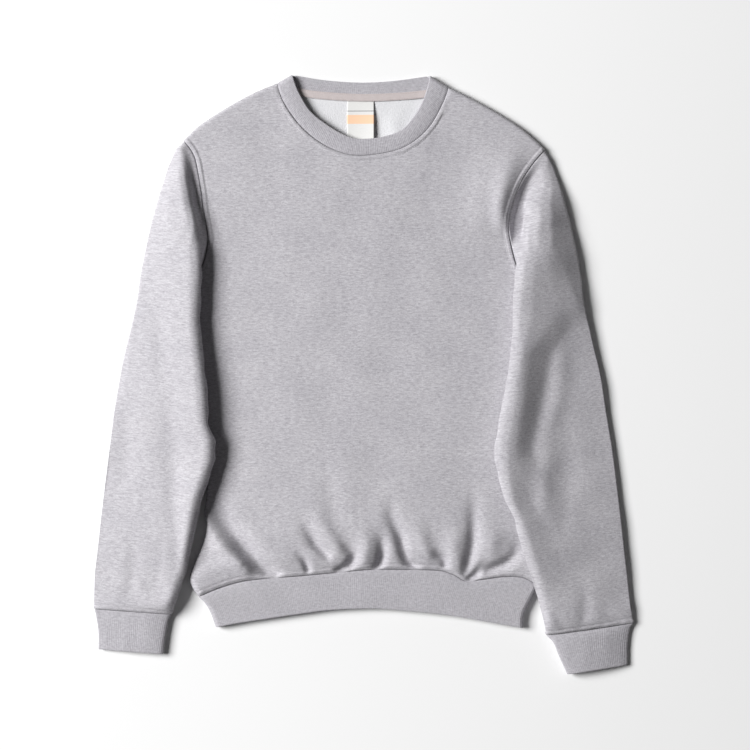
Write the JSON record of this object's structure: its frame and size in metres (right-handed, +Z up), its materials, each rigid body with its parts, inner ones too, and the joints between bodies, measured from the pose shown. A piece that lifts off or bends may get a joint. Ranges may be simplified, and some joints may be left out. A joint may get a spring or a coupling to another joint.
{
  "type": "crewneck sweatshirt",
  "caption": "Long-sleeved crewneck sweatshirt in grey marl brushed fleece, laid flat on its back, with rib-knit collar, cuffs and hem band.",
  "frame": {"origin": "on the surface it lies on, under the centre of its outline seen from above", "axes": "+Y from the hem towards the collar, +X to the viewer's right looking down on the front, +Z up from the surface it lies on"},
  "size_m": [0.689, 0.766, 0.0389],
  "materials": {
    "fleece": "grey marl loopback jersey, matte, brushed on the inside",
    "rib": "grey marl rib knit, matte",
    "tape": "woven cotton tape, pinkish beige",
    "label": "woven satin tape, cream"
  },
  "bodies": {
    "root": {"front": "fleece", "back": "fleece", "sleeve_left": "fleece", "sleeve_right": "fleece", "collar": "rib", "hem_band": "rib", "cuff_left": "rib", "cuff_right": "rib", "neck_tape": "tape", "label": "label"}
  },
  "joints": []
}
